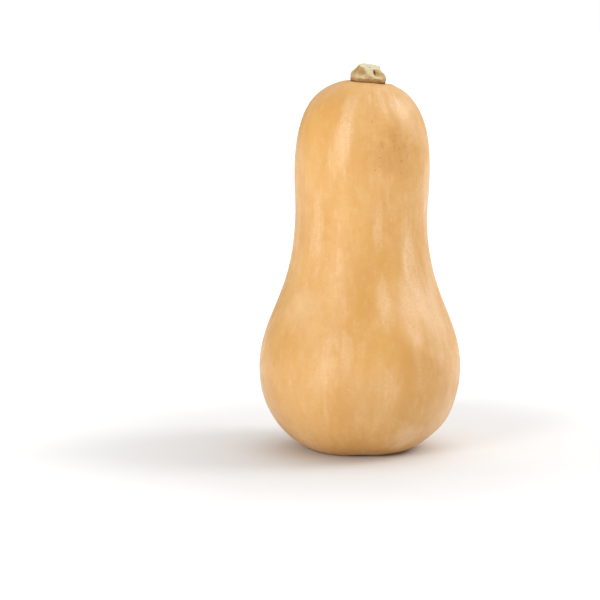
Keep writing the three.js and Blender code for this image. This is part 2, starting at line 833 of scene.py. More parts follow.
@dataclass(frozen=True)
class RindFinish(Finish):
    """Smooth waxy rind: pale orange tan, mottled, with broken lengthwise streaks.

    Its bands are patches too, placed where the rind is unrolled and shortened lengthwise. Some of its
    patches and bands are painted highlights, a painted reflection, painted fill light or painted
    shade.
    """

    patches: tuple[SurfacePatch, ...]
    bands: tuple[SurfacePatch, ...]
    band_stretch: float
    rub: SurfacePatch
    scar_radius: float
    name: str = "rind"
    tan: Colour = (0.65, 0.345, 0.10)
    pale_tan: Colour = (0.71, 0.408, 0.15)
    ochre: Colour = (0.60, 0.285, 0.07)
    bloom: Colour = (0.88, 0.63, 0.39)
    fleck_brown: Colour = (0.20, 0.10, 0.05)
    lenticel_pale: Colour = (0.92, 0.72, 0.48)
    scar_cork: Colour = (0.36, 0.22, 0.11)
    scar_amount: float = 0.85
    clouds: Grain = Grain(26 * MM, 2.4, 0.30, 0.70)
    mottle: Grain = Grain(7 * MM, 1.3, 0.42, 0.72)
    mottle_amount: float = 0.28
    blotch: Grain = Grain(4.5 * MM, 1.7, 0.50, 0.74)
    blotch_amount: float = 0.14
    speckle: Grain = Grain(1.0 * MM, 1.3, 0.38, 0.68)
    speckle_amount: float = 0.2
    speckle_wear: float = 0.4
    streak_zones: Grain = Grain(16 * MM, 2.5, 0.40, 0.62)
    streaks: tuple[Streak, ...] = (
        Streak(Grain(11.0 * MM, 3.5, 0.44, 0.68), bloom, 0.22),
        Streak(Grain(6.5 * MM, 6.0, 0.48, 0.72), bloom, 0.22),
        Streak(Grain(1.6 * MM, 12.0, 0.52, 0.80), bloom, 0.09),
        Streak(Grain(3.6 * MM, 9.0, 0.52, 0.74), ochre, 0.28),
    )
    smudges: Flecks = Flecks(3.4 * MM, 0.8, share=0.5, present=0.4)
    smudge_edge: Grain = Grain(1.8 * MM, 1.0, 0.46, 0.66)
    smudge_amount: float = 0.6
    brown_flecks: Flecks = Flecks(8 * MM, 1.3, share=0.08, present=0.3)
    scratches: Flecks = Flecks(4 * MM, 4.5, share=0.06, present=0.06)
    lenticels: Flecks = Flecks(9 * MM, 1.0, share=0.07, present=0.3)
    mark_amount: float = 0.4
    lenticel_height: float = 0.16 * MM
    lengthwise_relief: tuple[Relief, ...] = (Relief(2.0 * MM, 8.0, 0.05 * MM),)
    fine_relief: tuple[Relief, ...] = (
        Relief(3.2 * MM, 1.6, 0.05 * MM),
        Relief(0.6 * MM, 1.0, 0.014 * MM),
    )
    gloss_low: float = 0.30
    gloss_high: float = 0.44
    wax_ior: float = 1.41

    @property
    def scar(self) -> SurfacePatch:
        """The corky blossom scar on the underside.

        Returns:
            The scar, as a patch.
        """
        return SurfacePatch(
            centre=(0.0, 0.0, 0.0),
            reach=self.scar_radius * 0.4,
            edge=self.scar_radius * 0.35,
            ragged=self.scar_radius * 0.5,
            tint=self.scar_cork,
            amount=self.scar_amount,
        )

    def _draw(self, sheet: MaterialSheet) -> None:
        """Draws up the rind, from its ground tone to its marks.

        Args:
            sheet: The material's sheet.
        """
        grown = sheet.places("grown")
        clouds = sheet.grain(grown, self.clouds)
        mottle = sheet.grain(sheet.position, self.mottle)
        blotch = sheet.grain(sheet.position, self.blotch)
        speckle = sheet.grain(sheet.position, self.speckle)
        worn = sheet.sum(Sum.SUBTRACT, 1.0, sheet.product(speckle, self.speckle_wear))
        colour = sheet.lay_over(self.tan, self.pale_tan, clouds)
        colour = sheet.lay_over(colour, self.ochre, mottle, self.mottle_amount)
        colour = sheet.lay_over(colour, self.bloom, blotch, self.blotch_amount)
        colour = self._streaked(sheet, grown, worn, colour)
        colour = self._banded(sheet, grown, worn, colour)
        colour = sheet.lay_over(colour, self.ochre, speckle, self.speckle_amount)
        for patch in self.patches:
            colour = sheet.lay_patch(colour, patch)
        colour = self._rubbed(sheet, colour)
        lenticels = sheet.scatter(self.lenticels)
        colour = self._marked(sheet, lenticels, colour)
        colour = sheet.lay_patch(colour, self.scar)

        gloss = sheet.add("ShaderNodeMapRange")
        sheet.feed(gloss.inputs["Value"], sheet.sum(Sum.ADD, mottle, speckle, clamp=True))
        sheet.feed(gloss.inputs["To Min"], self.gloss_low)
        sheet.feed(gloss.inputs["To Max"], self.gloss_high)
        height = sheet.product(lenticels, self.lenticel_height)
        height = sheet.relief(grown, self.lengthwise_relief, height)
        height = sheet.relief(sheet.position, self.fine_relief, height)
        sheet.surface(colour, gloss.outputs["Result"], height, IOR=self.wax_ior)

    def _streaked(self, sheet: MaterialSheet, grown: Socket, worn: Socket, colour: Socket) -> Socket:
        """Lays on the lengthwise streaks, gathered in zones.

        Args:
            sheet: The material's sheet.
            grown: The places that the grain follows.
            worn: How much of the streaks the speckle leaves.
            colour: The skin's colour so far.

        Returns:
            The colour with the streaks.
        """
        zones = sheet.grain(grown, self.streak_zones)
        gathered = sheet.product(sheet.product(zones, worn), sheet.mask("flank"))
        for streak in self.streaks:
            lines = sheet.product(sheet.grain(grown, streak.grain), gathered)
            colour = sheet.lay_over(colour, streak.tint, lines, streak.amount)
        return colour

    def _banded(self, sheet: MaterialSheet, grown: Socket, worn: Socket, colour: Socket) -> Socket:
        """Lays on the broad lengthwise bands.

        Args:
            sheet: The material's sheet.
            grown: The places that the bands follow.
            worn: How much of the bands the speckle leaves.
            colour: The skin's colour so far.

        Returns:
            The colour with the bands.
        """
        shortening = (1.0, 1.0, 1.0 / self.band_stretch)
        shortened = sheet.sum_vectors(VectorSum.MULTIPLY, grown, shortening)
        for band in self.bands:
            zone = sheet.product(sheet.zone(shortened, band), worn)
            colour = sheet.lay_over(colour, band.tint, zone, band.amount)
        return colour

    def _rubbed(self, sheet: MaterialSheet, colour: Socket) -> Socket:
        """Rubs one patch of the neck: a faint brown cast and a scatter of small dark smudges.

        Args:
            sheet: The material's sheet.
            colour: The skin's colour so far.

        Returns:
            The colour with the rubbed patch.
        """
        rubbed = sheet.zone(sheet.position, self.rub)
        ragged = sheet.grain(sheet.position, self.smudge_edge)
        smudges = sheet.product(sheet.product(sheet.scatter(self.smudges), ragged), rubbed)
        colour = sheet.lay_over(colour, self.rub.tint, rubbed, self.rub.amount)
        return sheet.lay_over(colour, self.fleck_brown, smudges, self.smudge_amount)

    def _marked(self, sheet: MaterialSheet, lenticels: Socket, colour: Socket) -> Socket:
        """Adds brown flecks, short scratches and pale lenticels.

        Args:
            sheet: The material's sheet.
            lenticels: Where the lenticels are.
            colour: The skin's colour so far.

        Returns:
            The colour with the marks.
        """
        flecks = sheet.scatter(self.brown_flecks)
        brown = sheet.sum(Sum.MAXIMUM, flecks, sheet.scatter(self.scratches))
        colour = sheet.lay_over(colour, self.fleck_brown, brown, self.mark_amount)
        return sheet.lay_over(colour, self.lenticel_pale, lenticels, self.mark_amount)


class StemMask(Enum):
    """The masks that the stem's mesh holds for its cork; those for the hollows, the pit, the foot and
    the crease mark painted shade.
    """

    HOLLOW_SHADE = "hollow"
    RIDGE = "ridge"
    RIB = "rib"
    PIT_SHADE = "pit"
    FOOT_SHADE = "foot"
    CREASE_SHADOW = "crease"


@dataclass(frozen=True)
class CorkFinish(Finish):
    """Dry corky stem: tan flanks, pinkish ridges, olive painted shade in the hollows, brown painted
    shade in the pit, and a brown foot that darkens with painted shade into a painted shadow in the
    crease.
    """

    name: str = "stem_cork"
    tan: Colour = (0.58, 0.41, 0.175)
    ridge_pink: Colour = (0.58, 0.345, 0.215)
    # Olive painted shade for the hollows.
    hollow_shade_olive: Colour = (0.42, 0.255, 0.078)
    pale_rib: Colour = (0.74, 0.65, 0.42)
    # Painted shade: tan that deepens at the foot, and a dark brown painted shadow in the crease.
    foot_shade_tan: Colour = (0.36, 0.195, 0.058)
    crease_shadow_brown: Colour = (0.15, 0.065, 0.02)
    # Pore brown colours the pores and the fibres, and also paints shade into the pit.
    pore_brown_and_pit_shade: Colour = (0.20, 0.12, 0.05)
    clouds: Grain = Grain(3.0 * MM, 1.2, 0.35, 0.70, detail=3.0)
    cloud_amount: float = 0.4
    fibres: Grain = Grain(0.7 * MM, 4.0, 0.35, 0.75, detail=3.0)
    fibre_amount: float = 0.2
    pores: Flecks = Flecks(1.6 * MM, 1.4, share=0.2, present=0.35)
    pore_amount: float = 0.35
    cracks: tuple[Relief, ...] = (
        Relief(1.4 * MM, 1.5, 0.18 * MM),
        Relief(0.5 * MM, 3.0, 0.1 * MM),
    )
    roughness: float = 0.82
    shine: float = 0.25

    def _draw(self, sheet: MaterialSheet) -> None:
        """Draws up the cork.

        Args:
            sheet: The material's sheet.
        """
        clouds = sheet.grain(sheet.position, self.clouds)
        colour = sheet.lay_over(self.tan, self.pale_rib, clouds, self.cloud_amount)
        # The hollows' olive is painted shade; the ridges' pink and the ribs' pale tint are the cork's
        # own.
        for mask, tint in (
            (StemMask.HOLLOW_SHADE, self.hollow_shade_olive),
            (StemMask.RIDGE, self.ridge_pink),
            (StemMask.RIB, self.pale_rib),
        ):
            colour = sheet.lay_over(colour, tint, sheet.mask(mask.value))
        fibres = sheet.grain(sheet.position, self.fibres)
        colour = sheet.lay_over(colour, self.pore_brown_and_pit_shade, fibres, self.fibre_amount)
        colour = sheet.lay_over(colour, self.pore_brown_and_pit_shade, sheet.scatter(self.pores), self.pore_amount)
        # Painted shade in the pit and at the foot, and a painted shadow in the crease.
        for mask, tint in (
            (StemMask.PIT_SHADE, self.pore_brown_and_pit_shade),
            (StemMask.FOOT_SHADE, self.foot_shade_tan),
            (StemMask.CREASE_SHADOW, self.crease_shadow_brown),
        ):
            colour = sheet.lay_over(colour, tint, sheet.mask(mask.value))
        height = sheet.relief(sheet.position, self.cracks)
        sheet.surface(colour, self.roughness, height, Specular_IOR_Level=self.shine)


@dataclass(frozen=True)
class CutFinish(Finish):
    """The stem's cut face: pale greenish cream, with fibres and a browned middle."""

    middle: tuple[float, float, float]
    radius: float
    name: str = "stem_cut"
    cream: Colour = (0.70, 0.64, 0.44)
    straw: Colour = (0.58, 0.49, 0.29)
    bundle_brown: Colour = (0.42, 0.30, 0.15)
    clouds: Grain = Grain(2.2 * MM, 1.0, 0.4, 0.7, detail=3.0)
    cloud_amount: float = 0.6
    bundles: Flecks = Flecks(1.1 * MM, 1.0, share=0.24, present=0.4)
    bundle_amount: float = 0.25
    pith_amount: float = 0.5
    saw_marks: tuple[Relief, ...] = (
        Relief(0.9 * MM, 1.0, 0.1 * MM),
        Relief(0.35 * MM, 1.0, 0.04 * MM),
    )
    roughness: float = 0.7
    shine: float = 0.3

    @property
    def pith(self) -> SurfacePatch:
        """The browned pith in the middle of the face.

        Returns:
            The pith, as a patch.
        """
        return SurfacePatch(
            centre=self.middle,
            reach=self.radius * 0.16,
            edge=self.radius * 0.22,
            ragged=self.radius * 0.2,
            tint=self.bundle_brown,
            amount=self.pith_amount,
        )

    def _draw(self, sheet: MaterialSheet) -> None:
        """Draws up the cut face.

        Args:
            sheet: The material's sheet.
        """
        clouds = sheet.grain(sheet.position, self.clouds)
        bundles = sheet.scatter(self.bundles)
        colour = sheet.lay_over(self.cream, self.straw, clouds, self.cloud_amount)
        colour = sheet.lay_over(colour, self.bundle_brown, bundles, self.bundle_amount)
        colour = sheet.lay_patch(colour, self.pith)
        height = sheet.relief(sheet.position, self.saw_marks)
        sheet.surface(colour, self.roughness, height, Specular_IOR_Level=self.shine)


@dataclass(frozen=True)
class FloorFinish(Finish):
    """Plain white studio paper, which is lit from within more and more away from the squash."""

    name: str = "studio_paper"
    white: Colour = (0.80, 0.80, 0.80)
    shade: Colour = (0.79, 0.79, 0.79)
    clouds: Grain = Grain(60 * MM, 1.0, 0.3, 0.7, detail=2.0)
    tooth: tuple[Relief, ...] = (Relief(2 * MM, 1.0, 0.01 * MM),)
    lift: float = 0.42
    lift_from: float = 0.11
    lift_to: float = 0.36
    roughness: float = 0.9
    shine: float = 0.1

    def _draw(self, sheet: MaterialSheet) -> None:
        """Draws up the paper.

        Args:
            sheet: The material's sheet.
        """
        colour = sheet.lay_over(self.white, self.shade, sheet.grain(sheet.position, self.clouds))
        away = sheet.sum_vectors(VectorSum.DISTANCE, sheet.position, (0.0, 0.0, 0.0))
        lift = sheet.product(sheet.spread(away, self.lift_from, self.lift_to), self.lift)
        glow = sheet.add("ShaderNodeCombineColor")
        for channel in glow.inputs:
            sheet.feed(channel, lift)
        sheet.surface(
            colour,
            self.roughness,
            sheet.relief(sheet.position, self.tooth),
            glow=glow.outputs["Color"],
            Specular_IOR_Level=self.shine,
            Emission_Strength=1.0,
        )


# ---------------------------------------------------------------------------------------------
# The squash
# ---------------------------------------------------------------------------------------------


class RindTint(Enum):
    """The tints that the rind's patches and bands are laid on in."""

    BROWN = (0.52, 0.25, 0.075)
    # Brown for the painted shade where the stem meets the fruit.
    SEAT_SHADE_BROWN = (0.42, 0.18, 0.045)
    PINK = (0.90, 0.65, 0.42)
    GOLD = (0.68, 0.35, 0.07)
    OCHRE = (0.58, 0.29, 0.07)
    SMUDGE = (0.36, 0.175, 0.06)
    TAN = (0.56, 0.28, 0.085)


@dataclass(frozen=True)
class Spot:
    """Where a patch or a band of tint goes on the fruit.

    The angle is in degrees. The level, the reach at which it starts to fade and the edge over
    which it fades are in millimetres.
    """

    angle: float
    level: float
    reach: float
    edge: float
    tint: RindTint
    amount: float

    def patch(self, centre: Vector) -> SurfacePatch:
        """The patch that it makes.

        Args:
            centre: The place of its middle.

        Returns:
            The patch, in metres.
        """
        return round_patch(centre, self.reach * MM, self.edge * MM, self.tint, self.amount)


# How far the edge of a round patch strays, as a share of how far the patch reaches
STRAY = 1.8


def round_patch(
    centre: Vector, reach: float, edge: float, tint: RindTint, amount: float
) -> SurfacePatch:
    """A patch whose edge strays nearly as far as it is across.

    Args:
        centre: The place of its middle.
        reach: How far from there it starts to fade.
        edge: Over what distance it fades.
        tint: Its tint.
        amount: How much of the tint shows.

    Returns:
        The patch.
    """
    return SurfacePatch(tuple(centre), reach, edge, (reach + edge) * STRAY, tint.value, amount)


@dataclass(frozen=True)
class Station:
    """A place on the fruit's outline where it runs straight up.

    The radius is a share of the bulb's radius, and the level and the pulls, which are how far
    the outline keeps its direction below and above the place, are shares of the fruit's height.
    """

    radius: float
    level: float
    below: float
    above: float

    def at(self, wide: float, tall: float, pull: float = 0.0) -> tuple[float, float]:
        """The place's radius and level on a fruit of a size, or those of one of its pulls."""
        return self.radius * wide, (self.level + pull) * tall


@dataclass
class FruitBody:
    """The grown body of the squash, from the blossom scar to the seat of the stem."""

    low: Vector
    high: Vector
    seat: Vector
    rings: int = 300
    sides: int = 300
    dimple_steps: int = 24
    stretch_steps: int = 90
    bulb: Station = Station(radius=1.0, level=0.2205, below=0.1484, above=0.1484)
    waist: Station = Station(radius=0.651, level=0.6489, below=0.2333, above=0.017)
    neck: Station = Station(radius=0.667, level=0.7634, below=0.0509, above=0.1612)
    rest_radius: float = 0.457
    rest_pull: float = 0.147
    scar_radius: float = 0.186
    crown_radius: float = 0.054
    crown_pull: float = 0.419
    scar_depth: float = 2.5 * MM
    scar_button: RingRise = RingRise(height=0.9 * MM, radius=0.12, width=0.22)
    scar_folds: RingRise = RingRise(height=0.25 * MM, radius=0.6, width=0.3)
    seat_radius: float = 13.5 * MM
    seat_depth: float = 1.3 * MM
    seat_floor: float = 0.96
    seat_reach: float = 34 * MM
    collar: RingRise = RingRise(height=0.35 * MM, radius=seat_radius * 1.15, width=2.2 * MM)
    collar_pucker: float = 0.5
    collar_turn: float = 1.0
    shoulder_tilt: float = 0.03
    seat_tilt: float = 0.055
    lean: float = 2.0 * MM
    bow: float = 1.5 * MM
    lobes: int = 5
    lobe_turn: float = 21.0
    lobe_depth: float = 1.6 * MM
    lobe_fold: float = 0.35
    lobe_softness: float = 0.02
    lobe_level: float = 15 * MM
    lobe_spread: float = 22 * MM
    ribs: int = 10
    rib_height: float = 0.16 * MM
    rib_least: float = 0.6
    rib_strength: Roughness = Roughness(0.8, 50 * MM, 1, seed=14.2)
    rib_wander: Roughness = Roughness(0.5, 60 * MM, 1, seed=9.1, squash=(0.0, 0.0, 1.0))
    unevenness: Roughness = Roughness(0.4 * MM, 45 * MM, 2, seed=3.7, squash=(1.0, 1.0, 0.6))
    flank_level: float = 30 * MM
    grain_radius: float = 50 * MM
    band_stretch: float = 3.5
    swellings: tuple[Swelling, ...] = (
        Swelling(angle=-68, level=197 * MM, width=11 * MM, height=17 * MM, rise=-0.5 * MM),
        Swelling(angle=-45, level=75 * MM, width=16 * MM, height=13 * MM, rise=0.4 * MM),
        Swelling(angle=-118, level=120 * MM, width=12 * MM, height=20 * MM, rise=-0.35 * MM),
        Swelling(angle=35, level=170 * MM, width=12 * MM, height=22 * MM, rise=-0.5 * MM),
        Swelling(angle=150, level=62 * MM, width=15 * MM, height=12 * MM, rise=-0.5 * MM),
        Swelling(angle=95, level=130 * MM, width=13 * MM, height=16 * MM, rise=0.4 * MM),
        Swelling(angle=-12, level=18 * MM, width=34 * MM, height=12 * MM, rise=1.7 * MM),
    )
    # The crown patch deepens the skin round the stem: partly its own gold, partly painted shade.
    crown_tone_and_shade_edge: float = 13 * MM
    crown_tone_and_shade_amount: float = 0.8
    # The foot patch is painted shade: a brown ring round the stem where it stands on the fruit.
    seat_shade_share: float = 0.78
    seat_shade_edge: float = 5.5 * MM
    foot_shade_amount: float = 0.7
    rub: Spot = Spot(-63, 191, 4, 17, RindTint.BROWN, 0.40)
    spots: tuple[Spot, ...] = (
        Spot(-52, 63, 2, 14, RindTint.BROWN, 0.13),
        Spot(-40, 58, 0, 8, RindTint.BROWN, 0.22),
        Spot(-84, 70, 2, 18, RindTint.GOLD, 0.34),
        Spot(-64, 202, 0, 4, RindTint.SMUDGE, 0.24),
        Spot(-75, 198, 0, 2.6, RindTint.SMUDGE, 0.24),
        Spot(-53, 197, 0, 3.2, RindTint.SMUDGE, 0.22),
        Spot(-83, 212, 0, 1.4, RindTint.SMUDGE, 0.30),
        Spot(-44, 203, 0, 1.6, RindTint.SMUDGE, 0.30),
        Spot(-56, 78, 0, 9, RindTint.PINK, 0.28),
        # Pale bloom on the bulb's upper right, made paler still as a painted highlight.
        Spot(-50, 99, 2, 24, RindTint.PINK, 0.18),
        Spot(-30, 92, 2, 22, RindTint.PINK, 0.16),
        # Painted fill light: pale patches that brighten the bulb low on its front right.
        Spot(-26, 22, 4, 24, RindTint.PINK, 0.32),
        Spot(-56, 14, 2, 14, RindTint.PINK, 0.42),
        # Painted highlight along the bulb's right side.
        Spot(-24, 112, 2, 18, RindTint.PINK, 0.20),
        Spot(-40, 70, 2, 12, RindTint.PINK, 0.18),
        Spot(-64, 200, 0.2, 1.1, RindTint.SMUDGE, 0.46),
        Spot(-74, 196, 0.1, 0.9, RindTint.SMUDGE, 0.46),
        Spot(-58, 195, 0.2, 1.2, RindTint.SMUDGE, 0.40),
        Spot(-135, 90, 2, 20, RindTint.PINK, 0.20),
        Spot(-95, 40, 4, 20, RindTint.TAN, 0.25),
        Spot(20, 186, 6, 22, RindTint.PINK, 0.25),
        Spot(-45, 222, 2, 10, RindTint.PINK, 0.30),
        # Painted shade: a deeper gold down the left of the shoulders.
        Spot(-128, 218, 2, 14, RindTint.GOLD, 0.20),
        Spot(-150, 205, 2, 16, RindTint.GOLD, 0.40),
        # Painted reflection: a pinker sheen along the neck's right edge, where it catches the bright
        # surround.
        Spot(-28, 205, 2, 14, RindTint.PINK, 0.20),
        Spot(-98, 150, 2, 16, RindTint.GOLD, 0.25),
        Spot(65, 60, 8, 26, RindTint.BROWN, 0.30),
        Spot(110, 175, 4, 20, RindTint.BROWN, 0.30),
        Spot(160, 40, 5, 24, RindTint.TAN, 0.35),
        Spot(-160, 150, 4, 24, RindTint.TAN, 0.30),
    )
    bands: tuple[Spot, ...] = (
        # Painted highlight: a pale band high on the neck's front left, under the key light's
        # highlight.
        Spot(-106, 211, 2, 7, RindTint.PINK, 0.28),
        Spot(-92, 228, 0.3, 1.8, RindTint.OCHRE, 0.32),
        Spot(-84, 226, 0.3, 1.8, RindTint.PINK, 0.30),
        Spot(-62, 227, 0.3, 2.0, RindTint.OCHRE, 0.30),
        Spot(-50, 225, 0.3, 1.8, RindTint.PINK, 0.30),
        Spot(-114, 227, 0.3, 2.0, RindTint.OCHRE, 0.26),
        Spot(-63, 196, 0.2, 1.0, RindTint.SMUDGE, 0.34),
        Spot(-50, 190, 0.2, 0.8, RindTint.SMUDGE, 0.30),
        Spot(-77, 145, 1, 4, RindTint.PINK, 0.32),
        Spot(-48, 126, 2, 6, RindTint.PINK, 0.32),
        Spot(-70, 224, 1, 4, RindTint.PINK, 0.30),
        Spot(-99, 70, 1, 5, RindTint.PINK, 0.26),
        # Pale bloom bands on the bulb's upper right, which also act as a painted highlight.
        Spot(-57, 96, 2, 8, RindTint.PINK, 0.28),
        Spot(-42, 102, 2, 8, RindTint.PINK, 0.26),
        Spot(-29, 88, 2, 9, RindTint.PINK, 0.26),
        Spot(-36, 40, 1, 6, RindTint.OCHRE, 0.30),
        Spot(-88, 104, 1, 5, RindTint.OCHRE, 0.30),
        Spot(-64, 60, 1, 5, RindTint.OCHRE, 0.26),
        Spot(-75, 46, 1, 4, RindTint.PINK, 0.24),
        Spot(-75, 101, 1, 5, RindTint.PINK, 0.26),
        Spot(-132, 140, 2, 6, RindTint.PINK, 0.28),
        Spot(-20, 165, 2, 6, RindTint.PINK, 0.28),
        Spot(38, 120, 2, 7, RindTint.PINK, 0.30),
        Spot(92, 150, 3, 7, RindTint.PINK, 0.30),
        Spot(134, 90, 2, 7, RindTint.PINK, 0.30),
        Spot(176, 180, 2, 6, RindTint.PINK, 0.28),
    )

    @property
    def radius(self) -> float:
        """The bulb's radius."""
        return (self.high.x - self.low.x) / 2

    @property
    def height(self) -> float:
        """The fruit's height."""
        return self.high.z - self.low.z

    def axis_at(self, level: np.ndarray | float) -> tuple[np.ndarray, np.ndarray]:
        """The fruit's own axis, which leans and bows a little away from the bulb's middle.

        Args:
            level: Levels above the resting plane.

        Returns:
            The axis's x and y at those levels.
        """
        share = level / self.height
        base = self.bulb.level
        bowed = np.sin(np.pi * share) * share - math.sin(math.pi * base) * base
        return self.lean * (share - base), self.bow * bowed

    def surface_point(self, spot: Spot) -> Vector:
        """The place of a spot on the plain body.

        Args:
            spot: The spot.

        Returns:
            The place.
        """
        radii, levels, _ = self._flank_rows()
        level = spot.level * MM
        radius = float(np.interp(level, levels, radii))
        x, y = self.axis_at(level)
        turn = math.radians(spot.angle)
        return Vector((x + radius * math.cos(turn), y + radius * math.sin(turn), level))

    def band_point(self, spot: Spot) -> Vector:
        """The place of a spot in the unrolled layout of the grain, shortened for the bands.

        Args:
            spot: The spot.

        Returns:
            The place.
        """
        _, levels, lengths = self._flank_rows()
        turn = math.radians(spot.angle)
        along = float(np.interp(spot.level * MM, levels, lengths))
        round_it = self.grain_radius * math.cos(turn)
        across = self.grain_radius * math.sin(turn)
        return Vector((round_it, across, along / self.band_stretch))

    def _flank_rows(self) -> tuple[np.ndarray, np.ndarray, np.ndarray]:
        """The flank's outline, from low on the bulb up.

        Returns:
            The radii, the levels, and the lengths along the outline from the scar.
        """
        outline = self.outline
        lengths = np.hypot(*(outline[1] - outline[0])) * np.arange(self.rings)
        first = outline[:, 1].argmin() + self.rings // 8
        return outline[first:, 0], outline[first:, 1], lengths[first:]

    @cached_property
    def outline(self) -> np.ndarray:
        """The outline from the scar to the middle of the seat.

        Returns:
            Evenly spaced points, as (radius, level) rows.
        """
        wide, tall = self.radius, self.height
        bulb, waist, neck = self.bulb, self.waist, self.neck
        rest = (self.rest_radius * wide, 0.0)
        off_rest = (rest[0] + self.rest_pull * wide, 0.0)
        onto_crown = ((self.crown_radius + self.crown_pull) * wide, tall)
        crown = (self.crown_radius * wide, tall)
        ends = (rest, bulb.at(wide, tall), waist.at(wide, tall), neck.at(wide, tall), crown)
        pulls = (
            (off_rest, bulb.at(wide, tall, -bulb.below)),
            (bulb.at(wide, tall, bulb.above), waist.at(wide, tall, -waist.below)),
            (waist.at(wide, tall, waist.above), neck.at(wide, tall, -neck.below)),
            (neck.at(wide, tall, neck.above), onto_crown),
        )
        flank = [
            cubic((start, *pull, end), self.stretch_steps)
            for start, pull, end in zip(ends, pulls, ends[1:])
        ]
        bowl = np.linspace(0.0, 1.0, self.dimple_steps)
        rounded = self.scar_depth * (1 + np.cos(np.pi * bowl)) / 2
        dimple = np.stack([self.scar_radius * wide * bowl, rounded], axis=1)
        plain = np.concatenate([dimple, [rest], *flank])
        kept = (plain[:, 1] < tall / 2) | (plain[:, 0] > self.seat_radius)
        seat_level = tall - self.seat_depth
        seat = [[self.seat_radius * self.seat_floor, seat_level], [0.0, seat_level]]
        return evenly_spaced(np.concatenate([plain[kept], seat]), self.rings)

    def _surface(self) -> np.ndarray:
        """Places all the points of the body.

        Returns:
            The places: rings by sides by x, y, z.
        """
        outline = self.outline
        radii, levels, angles = np.broadcast_arrays(
            outline[:, :1], outline[:, 1:], round_angles(self.sides)
        )
        slope = np.gradient(outline, axis=0)
        slope /= np.hypot(slope[:, 0], slope[:, 1])[:, None]
        out, up = slope[:, 1][:, None], -slope[:, 0][:, None]

        swell = self._swell(angles, radii, levels)
        neck_level = self.neck.level * self.height
        near_seat = 1.0 - smooth_step(self.seat_radius, self.seat_reach, radii)
        share = np.where(levels > neck_level, near_seat, 0.0)
        shoulder = smooth_step(neck_level, self.height, levels)
        tilt = shoulder * self.shoulder_tilt + share * self.seat_tilt
        axis_x, axis_y = self.axis_at(levels)
        seat_x, seat_y = self.axis_at(self.height)
        x = (radii + swell * out) * np.cos(angles)
        y = (radii + swell * out) * np.sin(angles)
        z = levels + swell * up - tilt * x
        x = x + axis_x + share * (self.seat.x - seat_x)
        y = y + axis_y + share * (self.seat.y - seat_y)
        return np.stack([x, y, np.maximum(z, self.low.z)], axis=-1)

    def _grown_places(self) -> np.ndarray:
        """Unrolls the body along its meridians, so that grain that follows them runs as it grew.

        Returns:
            The unrolled place of each point.
        """
        step = np.hypot(*(self.outline[1] - self.outline[0]))
        angles = round_angles(self.sides)
        along = step * np.arange(self.rings)[:, None]
        places = (self.grain_radius * np.cos(angles), self.grain_radius * np.sin(angles), along)
        return np.stack(np.broadcast_arrays(*places), axis=-1)

    def _flank_share(self) -> np.ndarray:
        """Tells the flank from the underside and the scar.

        Returns:
            How far each point is out on the flank, from 0 at the poles to 1.
        """
        share = smooth_step(self.scar_radius, self.rest_radius, self.outline[:, 0] / self.radius)
        return np.repeat(share[:, None], self.sides, axis=1)

    def _swell(self, angles: np.ndarray, radii: np.ndarray, levels: np.ndarray) -> np.ndarray:
        """Shapes the plain body.

        Args:
            angles: Angle of each point, in radians.
            radii: Distance of each point from the body's axis.
            levels: Level of each point.

        Returns:
            How far each point stands out, along the plain body's normal.
        """
        plain = np.stack([radii * np.cos(angles), radii * np.sin(angles), levels], axis=-1)
        off_seat = smooth_step(self.seat_radius, self.seat_reach, radii)
        on_flank = smooth_step(0.0, self.flank_level, levels) * off_seat
        swell = self._lobe_hollows(angles, radii, levels)
        swell = swell + self.unevenness.on(plain) * on_flank
        strength = self.rib_least + self.rib_strength.on(plain)
        crests = np.cos(self.ribs * angles + self.rib_wander.on(plain))
        swell = swell + self.rib_height * strength * on_flank * crests
        for swelling in self.swellings:
            swell = swell + swelling.on(angles, levels, radii)
        return swell + self._scar_relief(angles, radii, levels) + self._puckers(angles, radii, levels)

    def _lobe_hollows(self, angles: np.ndarray, radii: np.ndarray, levels: np.ndarray) -> np.ndarray:
        """The hollows between the soft lobes of the lower bulb.

        Args:
            angles: Angle of each point, in radians.
            radii: Distance of each point from the body's axis.
            levels: Level of each point.

        Returns:
            The outward move of each point, which is 0 on a lobe's crest and negative beside it.
        """
        turn = angles - math.radians(self.lobe_turn)
        crest = (np.cos(turn * self.lobes / 2) ** 2 + self.lobe_softness) ** self.lobe_fold
        fade = bell(levels - self.lobe_level, self.lobe_spread)
        fade = fade * smooth_step(self.scar_radius * 0.6, self.rest_radius, radii / self.radius)
        return self.lobe_depth * fade * (crest - 1.0)

    def _scar_relief(self, angles: np.ndarray, radii: np.ndarray, levels: np.ndarray) -> np.ndarray:
        """The corky button in the blossom dimple, and the folds that run into it.

        Args:
            angles: Angle of each point, in radians.
            radii: Distance of each point from the body's axis.
            levels: Level of each point.

        Returns:
            The outward move of each point.
        """
        dimple = self.scar_radius * self.radius
        folds = np.cos(self.lobes * 2 * angles) * self.scar_folds.on(radii, dimple)
        underneath = levels < self.bulb.level * self.height / 2
        return np.where(underneath, self.scar_button.on(radii, dimple) + folds, 0.0)

    def _puckers(self, angles: np.ndarray, radii: np.ndarray, levels: np.ndarray) -> np.ndarray:
        """The flesh that rises softly round the foot of the stem, in a few puckers.

        Args:
            angles: Angle of each point, in radians.
            radii: Distance of each point from the body's axis.
            levels: Level of each point.

        Returns:
            The outward move of each point.
        """
        puckers = 1.0 + self.collar_pucker * np.cos(self.lobes * angles + self.collar_turn)
        return np.where(levels > self.neck.level * self.height, self.collar.on(radii) * puckers, 0.0)

